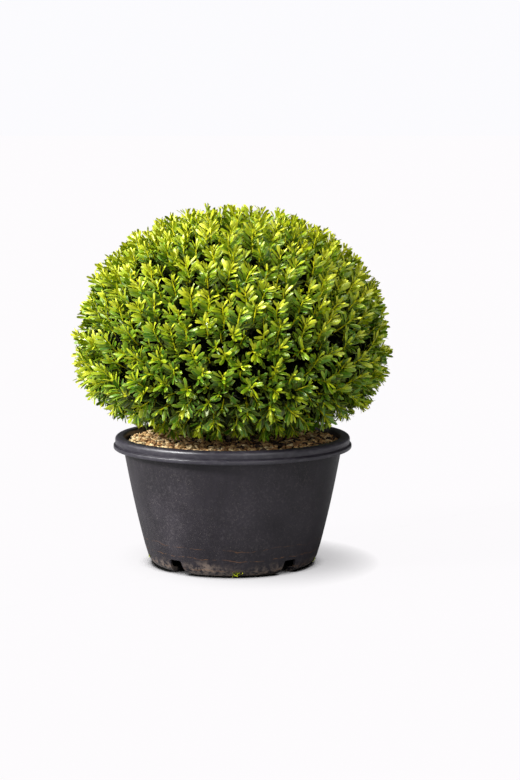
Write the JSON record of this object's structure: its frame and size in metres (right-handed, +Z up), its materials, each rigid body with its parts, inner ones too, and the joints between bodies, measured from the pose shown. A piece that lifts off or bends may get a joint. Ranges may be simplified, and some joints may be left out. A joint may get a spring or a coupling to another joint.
{
  "type": "clipped box topiary ball in a nursery pot",
  "caption": "Clipped evergreen shrub ball on a short branching stem, with bark mulch over its root ball, in a low round tapering nursery pot with a rolled rim and drainage notches.",
  "frame": {"origin": "middle of the pot's flat underside, on the surface that it stands on", "axes": "+Z up through the plant, -Y towards the viewer, +X to the viewer's right; two drainage notches show at the front"},
  "size_m": [0.2806, 0.2805, 0.32],
  "materials": {
    "pot_plastic": "satin injection-moulded, scuffed and dusty",
    "compost": "crumbly and matt",
    "bark_chips": "dry and matt",
    "bark": "fissured and matt",
    "foliage": "waxy leaves, young tips yellower"
  },
  "bodies": {
    "root": {"pot": "pot_plastic", "pot_rim": "pot_plastic", "root_ball": "compost", "bark_mulch": "bark_chips", "stem": "bark", "bough_1": "bark", "bough_2": "bark", "bough_3": "bark", "bough_4": "bark", "bough_5": "bark", "bough_6": "bark", "bough_7": "bark", "crown": "foliage"}
  },
  "joints": []
}
